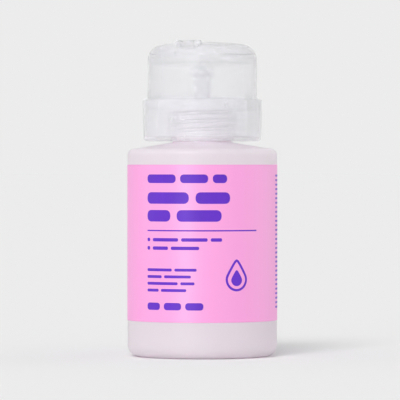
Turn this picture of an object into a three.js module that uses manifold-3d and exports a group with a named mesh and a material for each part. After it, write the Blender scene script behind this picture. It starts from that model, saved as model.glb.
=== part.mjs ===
// A press-down pump bottle for nail polish remover. A round translucent bottle with a wrap label is
// closed by a screw collar that carries the pump. A pad laid on the dish under the flip lid is pressed
// down, the plunger lifts a dose up through the stem onto the pad, and a spring returns the head.
// Millimetres, +Z up, origin at the centre of the base. The front of the label faces -Y.
import * as THREE from "three";
import { mergeVertices } from "three/addons/utils/BufferGeometryUtils.js";
import Module from "manifold-3d";

const wasm = await Module();
wasm.setup();

// Bottle
const bottleDiameter = 58;
const bottleWall = 1.2;
const heelRadius = 7;
const standingRingWidth = 2;
const basePushUp = 2.2;
const shoulderHeight = 80.2; // where the straight wall would meet the shoulder cone
const shoulderRise = 2.8;
const shoulderRadius = 2.4;
const neckDiameter = 21.8; // at the root of the thread
const neckWall = 1.7;
const neckHeight = 13.4;
const neckFillet = 1.2;

// Wrap label
const labelBottom = 14.1;
const labelTopMargin = 5.9; // from the shoulder corner down to the label
const labelThickness = 0.15;

// Screw collar: a threaded sleeve inside an open-topped ring that the head slides into
const collarHeight = 16.1;
const collarWall = 1.3;
const skirtClearance = 0.45; // between the collar's ring and the head's skirt
const collarFloor = 1.4;
const collarTaper = 0.35;
const collarGap = 0.5; // above the top of the shoulder
const threadDepth = 1.05;
const sleeveWall = 1.3;
const deckThickness = 1.2;

// Pump engine
const gasketThickness = 0.8;
const housingDiameter = 14;
const housingWall = 1.1;
const housingFlange = 1;
const guideFlange = 0.8;
const guideDepth = 5; // stem guide's sleeve below its flange
const cageThickness = 1.2;
const cageSlotWidth = 1.3;
const ballDiameter = 4;
const ballLift = 1.2;
const ballClearance = 0.5; // round the inlet ball in its pocket
const inletDiameter = 2.4; // of the hole that the ball closes
const inletLength = 1;
const pocketWall = 1.1;
const socketDepth = 9;
const dipTubeDiameter = 4.8;
const dipTubeWall = 0.8;
const dipTubeGap = 2; // from its lower end to the bottle's floor
const dipTubeCutAngle = 40; // degrees

// Plunger and spring
const stroke = 7;
const stemDiameter = 6.8;
const stemBore = 3.4;
const stemShoulder = 0.7; // step down to the tail that carries the piston
const stemSocket = 2.6; // depth of the stem in the dish's boss
const seatFlange = 1; // thickness of the piston seat where the spring bears
const seatCollarWall = 0.9;
const seatCollarDepth = 2;
const pistonHeight = 6;
const pistonLip = 0.8;
const springWire = 0.9;
const springClearance = 0.42; // round the piston seat's collar
const springCoils = 7;
const springSlack = 1.2; // left between the coils in all when the head is fully down

// Head, dish and lid
const headDiameter = 42.9; // at the open end of the skirt
const headDraft = 0.9; // degrees
const headWall = 1.2;
const skirtOverlap = 4.4; // depth of the skirt inside the collar at rest
const rimWidth = 2.4;
const rimThickness = 1.2;
const dishThickness = 1.2;
const dishHollow = 1.2; // how far the middle of the dish lies below its rim
const dishRimDepth = 2;
const bossWall = 1;
const bossClearance = 1; // left between the boss and the deck when the head is fully down
const outletBallDiameter = 2.4;
const outletBallLift = 0.6;
const outletHoleDiameter = 1.7; // of the hole that the ball closes
const outletHoleLength = 1.7;
const orificeCapDiameter = 6.4;
const orificeCapThickness = 0.7;
const orificePlugDepth = 0.6;
const orificeHoleDiameter = 0.8;
const orificeHoles = 4;
const lidHeight = 5.3;
const crownRadius = 140;
const crownCorner = 6;
const lidWall = 1.2;
const sealRingGap = 0.5; // from the head's rim to the plug seal inside the lid
const sealRingWall = 0.9;
const sealRingDepth = 0.9; // below the seam
const lidPinDiameter = 3.2; // closes the orifice
const liftLipWidth = 10;
const liftLipReach = 1.7;
const liftLipThickness = 1.2;

// Hinge: lid knuckle between two ears on the bridge that stays with the head
const hingeInset = 3.9; // from the outside of the head in to the hinge axis
const hingeDrop = 1.5; // from the middle of the crown down to the hinge axis
const knuckleDiameter = 3.4;
const knuckleLength = 4.8;
const earLength = 2.3;
const armDrop = 1.1; // lid arm below the hinge axis
const armRise = 0.6; // and above it
const trunnionDiameter = 1.8;
const trunnionLength = 1.6;
const hingeAzimuth = -18; // degrees about +Z from the front

// Clearances
const seatGap = 0.03; // pieces that rest on or are pressed into each other
const runningGap = 0.1; // pieces that slide or turn in each other
const skinGap = 0.05;
const openGap = 0.3; // visible gaps round the lid and hinge

// Facets
const wideFacets = 36;
const slimFacets = 20;
const filletSteps = (radius) => Math.min(5, 1 + Math.round(radius * 0.6));

// Heights that follow from the sizes above
const bottleRadius = bottleDiameter / 2;
const shoulderTop = shoulderHeight + shoulderRise;
const neckTop = shoulderTop + neckHeight;
const neckRadius = neckDiameter / 2;
const neckBore = neckRadius - neckWall;
const bottleFloor = basePushUp + bottleWall;
const flangeBottom = neckTop + gasketThickness + 2 * seatGap;
const flangeTop = flangeBottom + housingFlange;
const guideTop = flangeTop + seatGap + guideFlange;
const deckBottom = guideTop + seatGap;
const deckTop = deckBottom + deckThickness;
const guideBottom = flangeTop - guideDepth;
const collarBottom = shoulderTop + collarGap;
const collarTop = collarBottom + collarHeight;
const troughRadius = headDiameter / 2 + skirtClearance;
const collarRadius = troughRadius + collarWall;
const sleeveRadius = neckRadius + threadDepth + openGap;
const housingRadius = housingDiameter / 2;
const chamberRadius = housingRadius - housingWall;
const stemRadius = stemDiameter / 2;
const tailRadius = stemRadius - stemShoulder;
const seatCollarRadius = tailRadius + seatGap + seatCollarWall;
const springRadius = seatCollarRadius + springClearance + springWire / 2;
const pistonTop = guideBottom - openGap;
const pistonBottom = pistonTop - pistonHeight;
const seatTop = pistonBottom - seatGap;
const seatBottom = seatTop - seatFlange;
const springLength = stroke + springCoils * springWire + springSlack;
const cageTop = seatBottom - 2 * seatGap - springLength;
const chamberFloor = cageTop - cageThickness - seatGap;
const bossBottom = deckTop + stroke + bossClearance;
const stemTop = bossBottom + stemSocket;

// The outlet ball rests on the stem's top, and lifts until it meets the plug of the orifice cap.
const outletBallRadius = outletBallDiameter / 2;
const outletSeat = outletHoleDiameter / 2;
const outletBallHeight = stemTop + seatGap + Math.sqrt(outletBallRadius ** 2 - outletSeat ** 2);
const plugBottom = outletBallHeight + outletBallRadius + outletBallLift + seatGap;
const dishMiddle = plugBottom + orificePlugDepth - seatGap;
const dishTop = dishMiddle + dishHollow;
const seam = dishTop + seatGap + rimThickness;
const domeTop = seam + lidHeight;

// Geometry helpers

// A profile in (radius, height) whose corners [r, z, fillet] are rounded by true arcs.
function outline(corners) {
  const at = (i) => corners[(i + corners.length) % corners.length];
  const edge = (i, corner) => new THREE.Vector2(at(i)[0], at(i)[1]).sub(corner);
  const share = (i) => (at(i)[2] ? 0.49 : 0.98); // of the edge towards a neighbour, left for this fillet
  return corners.flatMap(([r, z, fillet = 0], i) => {
    const corner = new THREE.Vector2(r, z);
    if (!fillet) return [corner];
    const back = edge(i - 1, corner);
    const on = edge(i + 1, corner);
    const room = Math.min(share(i - 1) * back.length(), share(i + 1) * on.length());
    back.normalize();
    on.normalize();
    const half = Math.acos(THREE.MathUtils.clamp(back.dot(on), -1, 1)) / 2;
    const reach = Math.min(fillet / Math.tan(half), room);
    const radius = reach * Math.tan(half);
    const centre = back.clone().add(on).normalize().multiplyScalar(reach / Math.cos(half)).add(corner);
    const start = back.clone().multiplyScalar(reach).add(corner).sub(centre).angle();
    const end = on.clone().multiplyScalar(reach).add(corner).sub(centre).angle();
    const clockwise = back.cross(on) > 0;
    const arc = new THREE.EllipseCurve(centre.x, centre.y, radius, radius, start, end, clockwise);
    return arc.getPoints(filletSteps(radius));
  });
}

// A closed three.js geometry as a manifold solid whose faces point outwards.
function solid(geometry) {
  const bare = geometry.index ? geometry : mergeVertices(geometry);
  bare.deleteAttribute("normal");
  bare.deleteAttribute("uv");
  const merged = mergeVertices(bare, 1e-4);
  const vertProperties = merged.attributes.position.array;
  const triangles = [];
  const corners = [0, 1, 2].map(() => new THREE.Vector3());
  let volume = 0;
  for (let i = 0; i < merged.index.count; i += 3) {
    const [a, b, c] = merged.index.array.slice(i, i + 3);
    if (a === b || b === c || c === a) continue;
    triangles.push([a, b, c]);
    [a, b, c].forEach((v, k) => corners[k].fromBufferAttribute(merged.attributes.position, v));
    volume += corners[0].dot(corners[1].cross(corners[2]));
  }
  const triVerts = new Uint32Array(triangles.flatMap((t) => (volume < 0 ? t.reverse() : t)));
  return new wasm.Manifold(new wasm.Mesh({ numProp: 3, vertProperties, triVerts }));
}

// A profile turned about the Z axis. It closes on itself, or starts and ends on the axis.
function revolve(profile, facets) {
  const onAxis = profile[0].x === 0 && profile.at(-1).x === 0;
  const loop = onAxis ? profile : [...profile, profile[0]];
  return solid(new THREE.LatheGeometry(loop, facets).rotateX(Math.PI / 2));
}

function tube(outer, inner, bottom, top, facets) {
  return revolve(outline([[inner, bottom], [outer, bottom], [outer, top], [inner, top]]), facets);
}

function rod(radius, bottom, top, facets) {
  return revolve(outline([[0, bottom], [radius, bottom], [radius, top], [0, top]]), facets);
}

// A box between two corners.
function block(low, high) {
  const size = high.map((v, i) => v - low[i]);
  const middle = high.map((v, i) => (v + low[i]) / 2);
  return solid(new THREE.BoxGeometry(...size).translate(...middle));
}

// A cylinder along X on the hinge axis, between two places on it.
function barrel(radius, from, to) {
  const round = new THREE.CylinderGeometry(radius, radius, to - from, slimFacets).rotateZ(Math.PI / 2);
  return solid(round.translate((from + to) / 2, -hingeReach, hingeAxisHeight));
}

function ball(diameter, height) {
  return solid(new THREE.SphereGeometry(diameter / 2, 14, 8).rotateX(Math.PI / 2).translate(0, 0, height));
}

function joined(first, ...others) {
  return others.reduce((whole, other) => whole.add(other), first);
}

function piece(name, made, material) {
  const { vertProperties, triVerts } = made.getMesh();
  const geometry = new THREE.BufferGeometry();
  geometry.setAttribute("position", new THREE.BufferAttribute(vertProperties, 3));
  geometry.setIndex(new THREE.BufferAttribute(triVerts, 1));
  geometry.computeVertexNormals();
  const mesh = new THREE.Mesh(geometry, material);
  mesh.name = name;
  return mesh;
}

// Materials

function plastic(color, roughness, opacity) {
  return new THREE.MeshStandardMaterial({ color, roughness, metalness: 0, opacity, transparent: opacity < 1 });
}

const milkyPlastic = plastic(0xe8dee6, 0.35, 0.85);
const clearPlastic = plastic(0xe6e6ea, 0.12, 0.35);
const naturalPlastic = plastic(0xe4e3e8, 0.3, 0.6);
const whitePlastic = plastic(0xf0f0f0, 0.4, 1);
const labelFilm = plastic(0xfdb4e8, 0.45, 1);
const springSteel = new THREE.MeshStandardMaterial({ color: 0xb8babd, roughness: 0.25, metalness: 1 });
const valveGlass = plastic(0xdfe6e8, 0.05, 0.5);

// Bottle and label

function bottle() {
  const ringOuter = bottleRadius - heelRadius;
  const ringInner = ringOuter - standingRingWidth;
  const innerRadius = bottleRadius - bottleWall;
  const outside = [
    [0, basePushUp],
    [ringInner - 2 * basePushUp, basePushUp, basePushUp],
    [ringInner, 0],
    [bottleRadius, 0, heelRadius],
    [bottleRadius, shoulderHeight, shoulderRadius],
    [neckRadius, shoulderTop, neckFillet],
    [neckRadius, neckTop, neckFillet / 4],
  ];
  const inside = [
    [neckBore, neckTop, neckFillet / 4],
    [neckBore, shoulderTop - bottleWall, neckFillet],
    [innerRadius, shoulderHeight - bottleWall, shoulderRadius - bottleWall],
    [innerRadius, bottleWall, heelRadius - bottleWall],
    [ringInner, bottleWall],
    [ringInner - 2 * basePushUp, bottleFloor, basePushUp],
    [0, bottleFloor],
  ];
  return revolve(outline([...outside, ...inside]), wideFacets);
}

function wrapLabel() {
  const inner = bottleRadius + skinGap;
  return tube(inner + labelThickness, inner, labelBottom, shoulderHeight - labelTopMargin, wideFacets);
}

// Screw collar

function screwCollar() {
  const sleeveOuter = sleeveRadius + sleeveWall;
  const deckHole = chamberRadius + runningGap;
  return revolve(
    outline([
      [collarRadius - collarTaper, collarBottom, collarWall],
      [collarRadius, collarTop, collarWall / 2],
      [troughRadius, collarTop, collarWall / 3],
      [troughRadius, collarBottom + collarFloor, collarFloor / 2],
      [sleeveOuter, collarBottom + collarFloor, collarFloor / 2],
      [sleeveOuter, deckTop, deckThickness / 2],
      [deckHole, deckTop],
      [deckHole, deckBottom],
      [sleeveRadius, deckBottom],
      [sleeveRadius, collarBottom],
    ]),
    wideFacets,
  );
}

// Pump engine

function neckGasket() {
  return tube(neckRadius - seatGap, housingRadius + runningGap, neckTop + seatGap, flangeBottom - seatGap, wideFacets);
}

// Heights of the inlet valve, from the chamber's floor down.
const ballRadius = ballDiameter / 2;
const pocketRadius = ballRadius + ballClearance;
const inletRadius = inletDiameter / 2;
const ballCentre = chamberFloor - ballLift - ballRadius;
const coneBottom = ballCentre - ballRadius * Math.SQRT2 - seatGap + inletRadius; // a 45 degree cone
const coneTop = coneBottom + pocketRadius - inletRadius;
const socketTop = coneBottom - inletLength;
const socketBottom = socketTop - socketDepth;
const socketRadius = dipTubeDiameter / 2 + seatGap;

function pumpHousing() {
  const pocketOuter = Math.max(pocketRadius, socketRadius) + pocketWall;
  return revolve(
    outline([
      [neckRadius - openGap, flangeBottom],
      [neckRadius - openGap, flangeTop],
      [chamberRadius, flangeTop],
      [chamberRadius, chamberFloor],
      [pocketRadius, chamberFloor],
      [pocketRadius, coneTop],
      [inletRadius, coneBottom],
      [inletRadius, socketTop],
      [socketRadius, socketTop],
      [socketRadius, socketBottom],
      [pocketOuter, socketBottom, pocketWall / 2],
      [pocketOuter, coneTop - housingWall, housingWall],
      [housingRadius, chamberFloor - housingWall, housingWall],
      [housingRadius, flangeBottom],
    ]),
    slimFacets,
  );
}

// A disc that carries the spring and stops the inlet ball, slotted so that liquid passes round the ball.
function inletCage() {
  const bottom = chamberFloor + seatGap;
  const reach = pocketRadius + cageSlotWidth / 2;
  const disc = tube(chamberRadius - seatGap, inletRadius, bottom, cageTop, slimFacets);
  const slots = [
    [reach, cageSlotWidth / 2],
    [cageSlotWidth / 2, reach],
  ].map(([x, y]) => block([-x, -y, bottom - 1], [x, y, cageTop + 1]));
  return slots.reduce((whole, slot) => whole.subtract(slot), disc);
}

function stemGuide() {
  const bore = stemRadius + runningGap;
  return revolve(
    outline([
      [bore, guideBottom],
      [chamberRadius - seatGap, guideBottom],
      [chamberRadius - seatGap, flangeTop + seatGap],
      [housingRadius + housingWall, flangeTop + seatGap],
      [housingRadius + housingWall, guideTop],
      [chamberRadius - seatGap, guideTop],
      [chamberRadius - seatGap, deckTop, deckThickness / 2],
      [bore, deckTop],
    ]),
    slimFacets,
  );
}

function dipTube() {
  const radius = dipTubeDiameter / 2;
  const bottom = bottleFloor + dipTubeGap;
  const length = socketTop - seatGap - bottom;
  const whole = tube(radius, radius - dipTubeWall, bottom, bottom + length, slimFacets);
  const cutter = new THREE.BoxGeometry(length, length, length)
    .translate(0, 0, -length / 2)
    .rotateY(THREE.MathUtils.degToRad(dipTubeCutAngle))
    .translate(radius, 0, bottom);
  return whole.subtract(solid(cutter));
}

// An open helix of round wire between the cage and the piston seat.
class SpringCurve extends THREE.Curve {
  getPoint(t) {
    const turn = 2 * Math.PI * springCoils * t;
    const rise = springLength - springWire - 2 * seatGap;
    const height = cageTop + seatGap + springWire / 2 + rise * t;
    return new THREE.Vector3(springRadius * Math.cos(turn), springRadius * Math.sin(turn), height);
  }
}

const stepsPerCoil = 8;

function returnSpring() {
  const sides = Array.from({ length: 5 }, (_, i) => {
    const angle = (2 * Math.PI * i) / 5;
    return new THREE.Vector2((springWire / 2) * Math.cos(angle), (springWire / 2) * Math.sin(angle));
  });
  return solid(
    new THREE.ExtrudeGeometry(new THREE.Shape(sides), {
      steps: springCoils * stepsPerCoil,
      extrudePath: new SpringCurve(),
      bevelEnabled: false,
    }),
  );
}

// The least gap between coils, on points of the wire's middle at least half a turn apart.
function springGap() {
  const points = new SpringCurve().getPoints(springCoils * stepsPerCoil);
  let least = Infinity;
  points.forEach((p, i) =>
    points.slice(i + stepsPerCoil / 2).forEach((q) => {
      least = Math.min(least, p.distanceTo(q) - springWire);
    }),
  );
  return least;
}

console.log(`return_spring: least gap between coils ${springGap().toFixed(2)} mm`);

// Plunger

function pumpStem() {
  const bore = stemBore / 2;
  return revolve(
    outline([
      [bore, seatBottom - seatCollarDepth],
      [tailRadius, seatBottom - seatCollarDepth],
      [tailRadius, pistonTop + seatGap],
      [stemRadius, pistonTop + seatGap],
      [stemRadius, stemTop],
      [outletSeat, stemTop],
      [outletSeat, stemTop - outletHoleLength],
      [bore, stemTop - outletHoleLength - stemBore / 2],
    ]),
    slimFacets,
  );
}

// Holds the piston on the stem and carries the top of the spring, whose end its collar centres.
function pistonSeat() {
  const inner = tailRadius + seatGap;
  const flange = springRadius + springWire / 2;
  return revolve(
    outline([
      [inner, seatBottom - seatCollarDepth],
      [seatCollarRadius, seatBottom - seatCollarDepth, seatCollarWall / 2],
      [seatCollarRadius, seatBottom],
      [flange, seatBottom],
      [flange, seatTop],
      [inner, seatTop],
    ]),
    slimFacets,
  );
}

function piston() {
  const inner = tailRadius + runningGap;
  const outer = chamberRadius - runningGap;
  const lipHeight = pistonHeight / 4;
  return revolve(
    outline([
      [inner, pistonBottom],
      [outer - pistonLip, pistonBottom],
      [outer, pistonBottom + lipHeight / 4],
      [outer, pistonBottom + lipHeight],
      [outer - pistonLip, pistonBottom + 1.5 * lipHeight],
      [outer - pistonLip, pistonTop - 1.5 * lipHeight],
      [outer, pistonTop - lipHeight],
      [outer, pistonTop - lipHeight / 4],
      [outer - pistonLip, pistonTop],
      [inner, pistonTop],
    ]),
    slimFacets,
  );
}

// Head: a skirt and fixed hinge bridge, with the dish snapped in from below

// Radius of the drafted outside wall at a height.
const skirtBottom = collarTop - skirtOverlap;
const draft = Math.tan(THREE.MathUtils.degToRad(headDraft));
const wallRadius = (height) => headDiameter / 2 - (height - skirtBottom) * draft;
const rimInner = wallRadius(seam) - rimWidth;

// The outside of the head and lid together, from the crown's middle down to a height, moved inwards by a wall.
function domeProfile(bottom, wall) {
  const corner = wallRadius(domeTop) - wall;
  const crown = (r) => domeTop - wall - (r * r) / (2 * crownRadius);
  const crownPoints = [0, 1, 2, 3].map((i) => {
    const r = (i / 4) * (corner - crownCorner);
    return [r, crown(r)];
  });
  return [
    ...crownPoints,
    [corner, crown(corner), crownCorner - wall],
    [wallRadius(bottom) - wall, bottom],
  ];
}

function domeShell(bottom, wall) {
  const inside = domeProfile(bottom, wall).reverse();
  return revolve(outline([...domeProfile(bottom, 0), ...inside]), wideFacets);
}

function domeFilled(bottom) {
  return revolve(outline([...domeProfile(bottom, 0), [0, bottom]]), wideFacets);
}

const hingeReach = wallRadius(seam) - hingeInset;
const hingeAxisHeight = domeTop - hingeDrop;
const chord = hingeReach - knuckleDiameter / 2 - openGap; // where the lid ends and the bridge starts
const far = headDiameter; // beyond the outside of the head

// Everything above a height and behind a place along the hinge direction.
function lidSpace(front, bottom) {
  return block([-far, front, bottom], [far, far, domeTop + far]);
}

function headShell() {
  const rim = tube(wallRadius(seam) - headWall / 2, rimInner, seam - rimThickness, seam, wideFacets);
  const wall = block([-far, -chord - headWall - openGap, seam - rimThickness], [far, -chord - openGap, domeTop]);
  const earSpan = knuckleLength / 2 + openGap + earLength;
  const hingeBlock = block([-earSpan, -far, seam], [earSpan, -chord - openGap, domeTop]);
  const bridge = domeFilled(seam - lidHeight).intersect(wall.add(hingeBlock));
  const shell = joined(domeShell(skirtBottom, headWall).subtract(lidSpace(-chord - openGap, seam)), rim, bridge);
  const ears = [-1, 1].map((side) => {
    const inner = side * (knuckleLength / 2 + openGap);
    const [from, to] = [inner, side * earSpan].sort((a, b) => a - b);
    const foot = block(
      [from, -hingeReach - knuckleDiameter / 2, seam + lidHeight / 2],
      [to, -hingeReach + knuckleDiameter / 2, hingeAxisHeight],
    );
    return barrel(knuckleDiameter / 2, from, to).add(foot);
  });
  const pocket = barrel(
    knuckleDiameter / 2 + openGap,
    -knuckleLength / 2 - openGap,
    knuckleLength / 2 + openGap,
  );
  const slot = block(
    [-knuckleLength / 2 - openGap, -hingeReach, hingeAxisHeight - armDrop - openGap],
    [knuckleLength / 2 + openGap, -chord, domeTop + lidHeight],
  );
  const pinReach = knuckleLength / 2 + trunnionLength + openGap;
  const pinHole = barrel(trunnionDiameter / 2 + runningGap, -pinReach, pinReach);
  return [pocket, slot, pinHole].reduce((whole, cut) => whole.subtract(cut), joined(shell, ...ears));
}

const ballChamber = outletBallRadius + runningGap;

function dispensingDish() {
  const rim = wallRadius(dishTop) - headWall - seatGap - runningGap;
  const socket = stemRadius + runningGap;
  const hollow = [1, 0.75, 0.5, 0.25].map((t) => {
    const r = ballChamber + (rimInner - ballChamber) * t;
    return [r, dishMiddle + dishHollow * t * t];
  });
  const underside = [0.35, 0.6, 0.85].map((t) => {
    const r = ballChamber + (rimInner - ballChamber) * t;
    return [r, dishMiddle + dishHollow * t * t - dishThickness];
  });
  return revolve(
    outline([
      [socket, bossBottom],
      [socket + bossWall, bossBottom],
      [socket + bossWall, dishMiddle - dishThickness, bossWall],
      ...underside,
      [rimInner, dishTop - dishRimDepth],
      [rim, dishTop - dishRimDepth],
      [rim, dishTop],
      ...hollow,
      [ballChamber, dishMiddle],
      [ballChamber, stemTop + seatGap],
      [socket, stemTop + seatGap],
    ]),
    wideFacets,
  );
}

// A mushroom-shaped spreader over the outlet ball, with small holes through it.
function orificeCap() {
  const bottom = dishMiddle + seatGap;
  const top = bottom + orificeCapThickness;
  const plugRadius = ballChamber - runningGap;
  const cap = revolve(
    outline([
      [0, plugBottom],
      [plugRadius, plugBottom],
      [plugRadius, bottom],
      [orificeCapDiameter / 2, bottom],
      [orificeCapDiameter / 2, top, orificeCapThickness / 2],
      [0, top],
    ]),
    slimFacets,
  );
  return Array.from({ length: orificeHoles }, (_, i) => {
    const angle = (2 * Math.PI * (i + 0.5)) / orificeHoles;
    const radius = plugRadius / 2;
    const round = new THREE.CylinderGeometry(orificeHoleDiameter / 2, orificeHoleDiameter / 2, far, 8);
    return solid(round.rotateX(Math.PI / 2).translate(radius * Math.cos(angle), radius * Math.sin(angle), bottom));
  }).reduce((whole, hole) => whole.subtract(hole), cap);
}

// Lid

function flipLid() {
  const ringOuter = rimInner - sealRingGap;
  const ring = tube(ringOuter, ringOuter - sealRingWall, seam - sealRingDepth, domeTop, wideFacets);
  const pinBottom = dishMiddle + seatGap + orificeCapThickness + openGap;
  const pin = rod(lidPinDiameter / 2, pinBottom, domeTop, slimFacets);
  const insides = domeFilled(seam - lidHeight).intersect(ring.add(pin)).intersect(lidSpace(-chord, 0));
  const lipBottom = seam + openGap;
  const lipRadius = wallRadius(lipBottom);
  const lip = tube(
    lipRadius + liftLipReach,
    lipRadius - headWall / 2,
    lipBottom,
    lipBottom + liftLipThickness,
    wideFacets,
  ).intersect(block([-liftLipWidth / 2, 0, seam], [liftLipWidth / 2, far, domeTop]));
  const arm = block(
    [-knuckleLength / 2, -hingeReach, hingeAxisHeight - armDrop],
    [knuckleLength / 2, -chord + lidWall, hingeAxisHeight + armRise],
  );
  const pinEnd = knuckleLength / 2 + trunnionLength;
  const trunnions = barrel(trunnionDiameter / 2, -pinEnd, pinEnd);
  const knuckle = barrel(knuckleDiameter / 2, -knuckleLength / 2, knuckleLength / 2);
  const cap = domeShell(seam - lidHeight, lidWall).intersect(lidSpace(-chord, lipBottom));
  return joined(cap, insides, lip, arm, knuckle, trunnions);
}

// Assembly

const head = new THREE.Group();
head.rotation.z = THREE.MathUtils.degToRad(hingeAzimuth);
head.add(
  piece("head_shell", headShell(), clearPlastic),
  piece("dispensing_dish", dispensingDish(), clearPlastic),
  piece("orifice_cap", orificeCap(), naturalPlastic),
  piece("outlet_ball", ball(outletBallDiameter, outletBallHeight), valveGlass),
  piece("flip_lid", flipLid(), clearPlastic),
);

const plunger = new THREE.Group();
plunger.add(
  piece("pump_stem", pumpStem(), naturalPlastic),
  piece("piston", piston(), whitePlastic),
  piece("piston_seat", pistonSeat(), whitePlastic),
);

const engine = new THREE.Group();
engine.add(
  piece("neck_gasket", neckGasket(), whitePlastic),
  piece("pump_housing", pumpHousing(), naturalPlastic),
  piece("stem_guide", stemGuide(), naturalPlastic),
  piece("inlet_cage", inletCage(), naturalPlastic),
  piece("return_spring", returnSpring(), springSteel),
  piece("inlet_ball", ball(ballDiameter, ballCentre), valveGlass),
  piece("dip_tube", dipTube(), naturalPlastic),
);

const pumpBottle = new THREE.Group();
pumpBottle.add(
  piece("bottle", bottle(), milkyPlastic),
  piece("wrap_label", wrapLabel(), labelFilm),
  piece("screw_collar", screwCollar(), clearPlastic),
  engine,
  plunger,
  head,
);

export default pumpBottle;
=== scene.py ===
import bpy
import bmesh
import math
import random
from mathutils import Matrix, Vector


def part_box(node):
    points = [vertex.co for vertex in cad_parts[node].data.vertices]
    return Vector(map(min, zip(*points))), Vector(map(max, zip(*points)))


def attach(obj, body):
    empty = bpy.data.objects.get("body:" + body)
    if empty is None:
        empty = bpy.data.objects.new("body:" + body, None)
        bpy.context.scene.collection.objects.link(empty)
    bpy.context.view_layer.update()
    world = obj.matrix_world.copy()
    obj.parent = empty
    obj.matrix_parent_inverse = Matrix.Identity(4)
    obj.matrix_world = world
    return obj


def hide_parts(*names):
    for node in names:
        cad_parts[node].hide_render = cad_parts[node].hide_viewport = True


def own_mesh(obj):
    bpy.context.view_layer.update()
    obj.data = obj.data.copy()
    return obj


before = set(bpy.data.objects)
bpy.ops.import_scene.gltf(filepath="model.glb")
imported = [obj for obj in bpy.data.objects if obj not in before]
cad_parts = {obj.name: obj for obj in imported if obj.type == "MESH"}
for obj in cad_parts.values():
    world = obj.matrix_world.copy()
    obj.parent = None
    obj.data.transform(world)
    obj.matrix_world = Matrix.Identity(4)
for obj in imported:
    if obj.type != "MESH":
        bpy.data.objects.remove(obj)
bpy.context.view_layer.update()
mm = 0.001
quarterTurn, fullTurn = math.radians(90), 2 * math.pi
mergeReach = 0.002 * mm  # points closer than this are one point
levelReach = 0.01 * mm  # points this near to a level lie on it
fineSegments = 128  # round the wide pieces
edgeSteps = 3  # across a rounded edge


# selecting and finishing

def dropSelection():
    active = bpy.context.view_layer.objects.active
    if active and active.mode != "OBJECT":
        bpy.ops.object.mode_set(mode="OBJECT")
    bpy.ops.object.select_all(action="DESELECT")


def pickOnly(piece):
    dropSelection()
    piece.select_set(True)
    bpy.context.view_layer.objects.active = piece


def fixPlace(piece):
    pickOnly(piece)
    bpy.ops.object.transform_apply(location=True, rotation=True, scale=True)
    return piece


def editAll(piece):
    pickOnly(piece)
    bpy.ops.object.mode_set(mode="EDIT")
    bpy.ops.mesh.select_all(action="SELECT")


def selectVerts(piece, wanted):
    # edit mode: picks the vertices whose place passes the test
    bpy.ops.mesh.select_mode(type="VERT")
    bpy.ops.mesh.select_all(action="DESELECT")
    mesh = bmesh.from_edit_mesh(piece.data)
    for vert in mesh.verts:
        if wanted(vert.co):
            vert.select_set(True)
    mesh.select_flush(True)
    bmesh.update_edit_mesh(piece.data)


def selectOpenEdges():
    # edit mode: picks the rims of what isn't closed yet
    bpy.ops.mesh.select_all(action="DESELECT")
    bpy.ops.mesh.select_non_manifold()


def closeUp(piece):
    # merges the doubles and turns the faces outwards
    editAll(piece)
    bpy.ops.mesh.remove_doubles(threshold=mergeReach)
    bpy.ops.mesh.normals_make_consistent(inside=False)
    bpy.ops.object.mode_set(mode="OBJECT")
    return piece


def mergeSlivers(piece):
    # joins the hair-thin faces that cuts leave along an edge
    editAll(piece)
    bpy.ops.mesh.quads_convert_to_tris()
    return closeUp(piece)


def smoothOff(piece, angle=32):
    pickOnly(piece)
    bpy.ops.object.shade_smooth_by_angle(angle=math.radians(angle))
    return piece


def applyChange(piece, kind, **settings):
    pickOnly(piece)
    change = piece.modifiers.new(kind.lower(), kind)
    for key, value in settings.items():
        setattr(change, key, value)
    bpy.ops.object.modifier_apply(modifier=change.name)
    return piece


def combine(piece, other, how):
    applyChange(piece, "BOOLEAN", object=other, operation=how, solver="MANIFOLD")
    bpy.data.objects.remove(other)
    return piece


def dress(piece, look, body, slot, *nodes):
    piece.data.materials.clear()
    piece.data.materials.append(look)
    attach(piece, body)
    if nodes:
        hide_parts(*nodes)
    return piece


# shapes that several pieces share

def roundedRings(corners, steps=5):
    # corners are (radius, height, fillet) in millimetres round a closed profile,
    # and each fillet becomes a true arc
    sharedSide, wholeSide = 0.49, 0.98  # how much of a side a fillet may take
    count = len(corners)
    rings = []
    for i, corner in enumerate(corners):
        here = Vector(corner[:2])
        fillet = corner[2] if len(corner) > 2 else 0
        if not fillet:
            rings.append(here)
            continue
        before, after = corners[i - 1], corners[(i + 1) % count]
        back, on = Vector(before[:2]) - here, Vector(after[:2]) - here
        room = min(
            side.length * (sharedSide if len(near) > 2 and near[2] else wholeSide)
            for side, near in ((back, before), (on, after)))
        back.normalize()
        on.normalize()
        half = back.angle(on) / 2
        reach = min(fillet / math.tan(half), room)
        radius = reach * math.tan(half)
        centre = here + (back + on).normalized() * (reach / math.cos(half))
        first, last = here + back * reach - centre, here + on * reach - centre
        sweep = first.angle(last)
        for step in range(steps + 1):
            share = step / steps
            spoke = first * math.sin((1 - share) * sweep) + last * math.sin(share * sweep)
            rings.append(centre + spoke.normalized() * radius)
    return [(ring.x * mm, ring.y * mm) for ring in rings]


def meetOnAxis(rise):
    bpy.ops.mesh.extrude_edges_move(TRANSFORM_OT_translate={"value": (0, 0, rise)})
    bpy.ops.mesh.merge(type="CENTER")


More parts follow.
